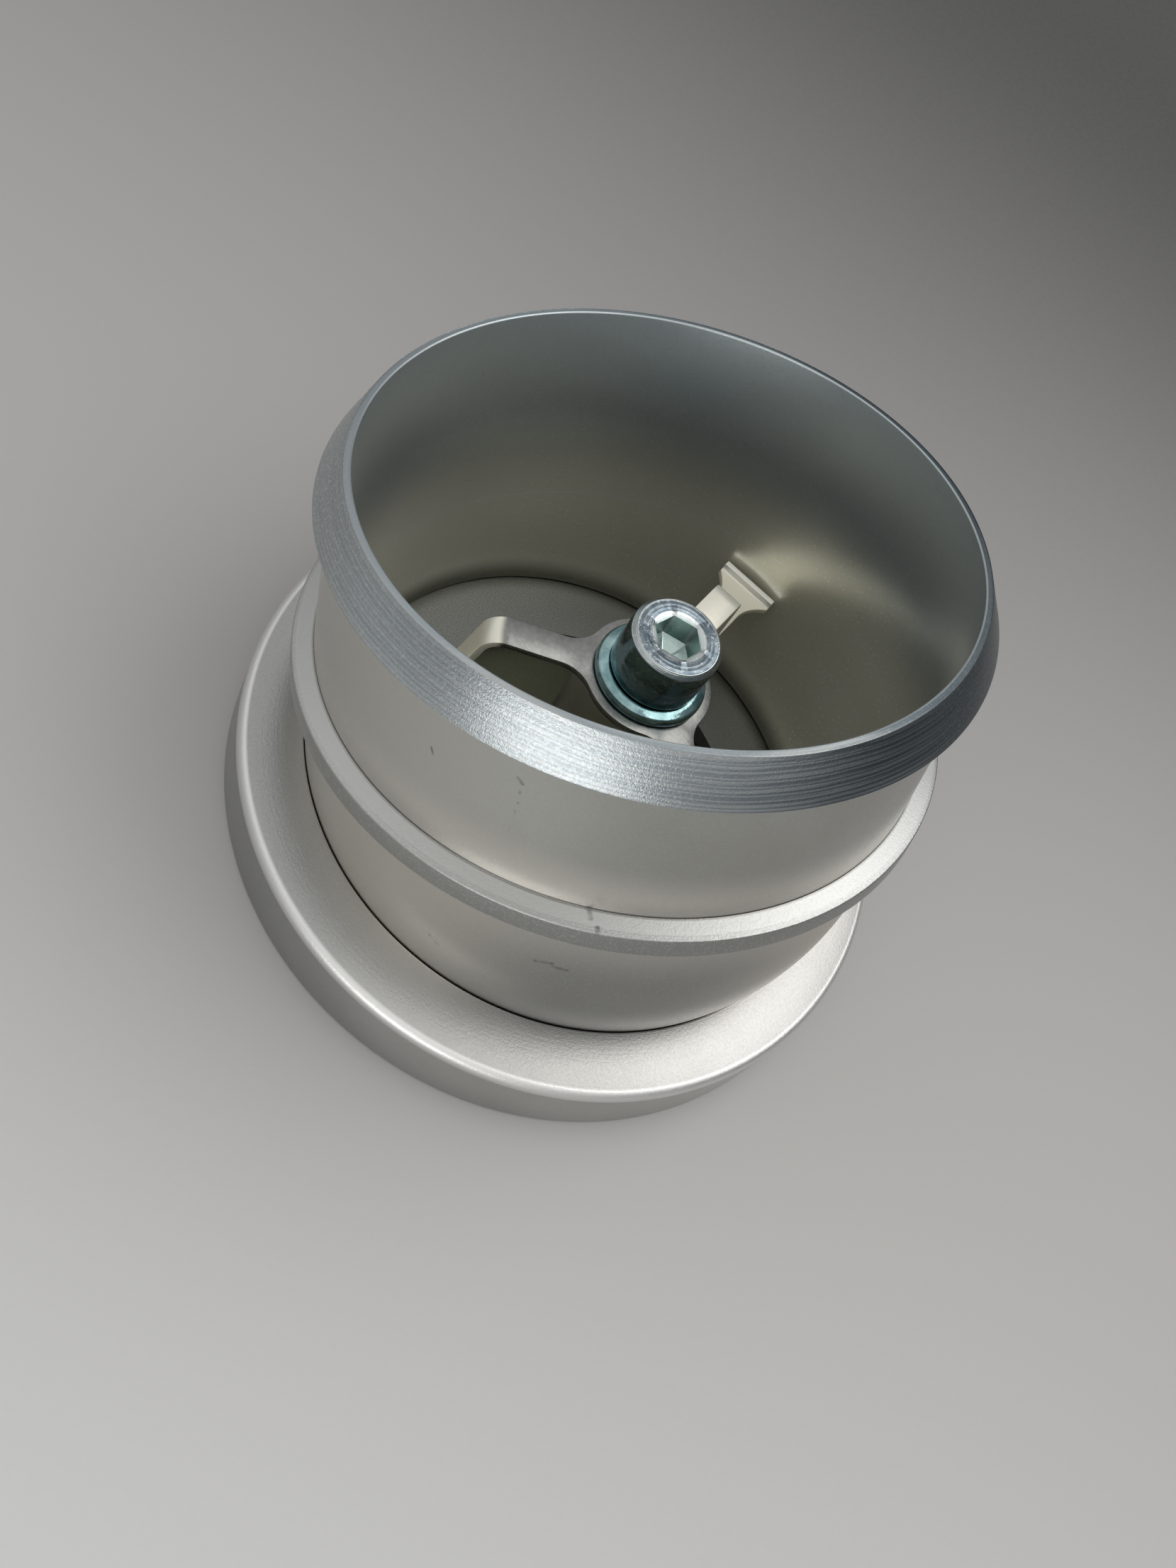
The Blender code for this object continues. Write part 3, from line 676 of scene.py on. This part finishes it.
# Cap screw
# Cold-headed steel with a turned chamfer, blue zinc plated. The key hole is hexagonal, with a
# lead-in at its mouth and a drilled cone at its floor. It holds the clamp down on the sleeve.
SHANK_RADIUS = 4.0
SHANK_LOW = 17.0
HEAD_RADIUS = 6.5
HEAD_LOW = 42.0
HEAD_TOP = 50.0
KEY_WIDTH = 6.0
KEY_MOUTH = 3.85
KEY_DEPTH = 4.2
LEAD_IN_DEPTH = 0.32
CONE_TIP = 0.2
CONE_DEPTH = (KEY_WIDTH - CONE_TIP) / 2.0 * math.tan(math.radians(30.0))
TIP_CHAMFER = 0.8
HEAD_CHAMFER = 0.7
SCREW_SIDES = 96


def hexagon(height, width):
    points = []
    for i in range(SCREW_SIDES):
        a = 2.0 * math.pi * i / SCREW_SIDES
        off_flat = (a + math.pi / 6.0) % (math.pi / 3.0) - math.pi / 6.0
        reach = width / 2.0 / math.cos(off_flat)
        points.append(Vector((reach * math.cos(a), reach * math.sin(a), height)))
    return points


body = rounded(
    [(SHANK_RADIUS - TIP_CHAMFER, SHANK_LOW), (SHANK_RADIUS, SHANK_LOW + TIP_CHAMFER),
     (SHANK_RADIUS, HEAD_LOW), (HEAD_RADIUS, HEAD_LOW),
     (HEAD_RADIUS, HEAD_TOP - HEAD_CHAMFER), (HEAD_RADIUS - HEAD_CHAMFER, HEAD_TOP)],
    [0.0, 0.1, 0.1, 0.25, 0.25, 0.12], 5)
body = [(radius, height) for radius, height in body] + [(KEY_MOUTH, HEAD_TOP)]
rings = [ring(Vector((0, 0, height)), Vector((1, 0, 0)), Vector((0, 1, 0)), radius, SCREW_SIDES)
         for radius, height in body]
rings.append(hexagon(HEAD_TOP - LEAD_IN_DEPTH, KEY_WIDTH))
rings.append(hexagon(HEAD_TOP - KEY_DEPTH, KEY_WIDTH))
rings.append(hexagon(HEAD_TOP - KEY_DEPTH - CONE_DEPTH, CONE_TIP))
screw = skin("cap_screw_dressed", rings, closed=False)

screw_finish, shader, point = finish_start("screw_zinc")
away = point.scaled(FLAT).length()
height = point.dot(UP)
haze = point.noise(0.6, 3.0)
nicks = point.noise(1.5, 4.0, 0.7).ramp(0.58, 0.70)
crown = height.ramp(45.0, 45.6)
barrel = 1.0 - height.ramp(48.9, 49.4)
# Painted highlights: the top of the chamfer and the key hole's lead-in are painted pale, and the
# key hole's walls pale teal, as light falling on them.
chamfer_highlight = height.ramp(49.2, 49.4) * away.ramp(5.6, 5.8)
lead_in_highlight = crown * away.ramp(3.1, 3.3) * (1.0 - away.ramp(3.85, 4.0))
well = 1.0 - away.ramp(3.5, 3.9)
top_tone = haze.ramp(0.3, 0.7).blend((0.13, 0.165, 0.195, 1.0), (0.24, 0.28, 0.31, 1.0))
plated = barrel.blend(top_tone, (0.20, 0.30, 0.315, 1.0))
highlighted = chamfer_highlight.most(lead_in_highlight).blend(plated, (0.52, 0.56, 0.56, 1.0))
pocket = (well * (1.0 - lead_in_highlight)).blend(highlighted, (0.42, 0.53, 0.50, 1.0))
set_varying(shader, "Base Color", (nicks * crown * 0.55).blend(pocket, (0.95, 0.97, 0.96, 1.0)))
shader.inputs["Metallic"].default_value = 1.0
rough = 0.10 + well * crown * 0.28 + nicks * crown * 0.18 + (haze - 0.5) * 0.06
set_varying(shader, "Roughness", rough)
threads = (height * 5.02).sine() * (1.0 - height.ramp(41.0, 41.9))
wave = (threads * 0.9 + point.noise(1.4, 3.0) * 0.10).bump(0.00035)
set_varying(shader, "Normal", (away.line_noise(3.0, 2.0) * crown).bump(0.00004, wave))
screw.data.materials.append(screw_finish)
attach(screw, "base")
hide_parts("cap_screw")

# Floor
# A pale, matt table top that the base stands on, with painted light: lightest on the near side as a
# painted pool of light, falling off to painted shade behind the part, and pale grey again far away.
bpy.ops.mesh.primitive_plane_add(size=6.0, location=(0.0, 0.0, 0.0))
floor = bpy.context.object
floor.name = "floor"
floor_finish, shader, point = finish_start("table_top")
nearness = point.dot((-0.4, 1.0, 0.0))
speck = point.noise(0.8, 4.0, 0.6)
shade = nearness.ramp(-330.0, 70.0).blend((0.045, 0.045, 0.044, 1.0), (0.43, 0.42, 0.413, 1.0))
near_tone = nearness.ramp(0.0, 200.0).blend(shade, (0.615, 0.62, 0.612, 1.0))
tone = point.length().ramp(480.0, 1100.0).blend(near_tone, (0.42, 0.42, 0.415, 1.0))
specked = ((speck - 0.5) * 0.10 + 0.05).blend(tone, (0.42, 0.42, 0.41, 1.0))
set_varying(shader, "Base Color", specked)
set_varying(shader, "Roughness", 0.55 + (speck - 0.5) * 0.1)
set_varying(shader, "Normal", speck.bump(0.00003))
floor.data.materials.append(floor_finish)

# Lamps, room and camera
# Two broad soft lamps, one overhead and a lower one at the near side, in a grey room that is
# pale above and dark on one side. The camera has the photo's viewing angle.
AIM = Vector((0.0, 0.0, 0.03))
for name, place, wide, tall, power, colour in (
    ("overhead", (-0.15, -0.30, 0.52), 0.60, 0.60, 1.32, (1.0, 0.985, 0.96)),
    ("near_side", (-0.27, 0.63, 0.19), 0.62, 0.32, 1.05, (1.0, 0.985, 0.955)),
):
    lamp_data = bpy.data.lights.new(name, "AREA")
    lamp_data.shape = "ELLIPSE"
    lamp_data.size = wide
    lamp_data.size_y = tall
    lamp_data.energy = power
    lamp_data.color = colour
    lamp = bpy.data.objects.new(name, lamp_data)
    lamp.location = place
    lamp.rotation_euler = (AIM - Vector(place)).to_track_quat("-Z", "Y").to_euler()
    bpy.context.scene.collection.objects.link(lamp)
world = bpy.data.worlds.new("room")
bpy.context.scene.world = world
world.use_nodes = True
sky = world.node_tree.nodes["Background"]
source = world.node_tree.nodes.new("ShaderNodeTexCoord")
direction = Sock(world.node_tree, source.outputs["Generated"])
upward = direction.dot(UP)
dark = direction.dot((-0.5, -0.866, 0.0)).ramp(0.15, 0.90) * upward.ramp(-0.03, 0.12)
level = dark.blend((0.36, 0.365, 0.37, 1.0), (0.008, 0.012, 0.017, 1.0))
room_tone = upward.ramp(0.15, 0.95).blend(level, (0.90, 0.90, 0.89, 1.0))
world.node_tree.links.new(room_tone.out, sky.inputs["Color"])
sky.inputs["Strength"].default_value = 1.0

camera_data = bpy.data.cameras.new("camera")
camera_data.sensor_width = 36.0
camera_data.lens = 36.467
camera_data.clip_start = 0.01
camera = bpy.data.objects.new("camera", camera_data)
camera.rotation_mode = "QUATERNION"
camera.rotation_quaternion = Quaternion((-0.45996548, 0.05063757, 0.29931275, 0.83443362))
camera.location = (-0.04783664, 0.12898983, 0.2052776)
bpy.context.scene.collection.objects.link(camera)
bpy.context.scene.camera = camera
bpy.context.scene.view_settings.view_transform = "Standard"
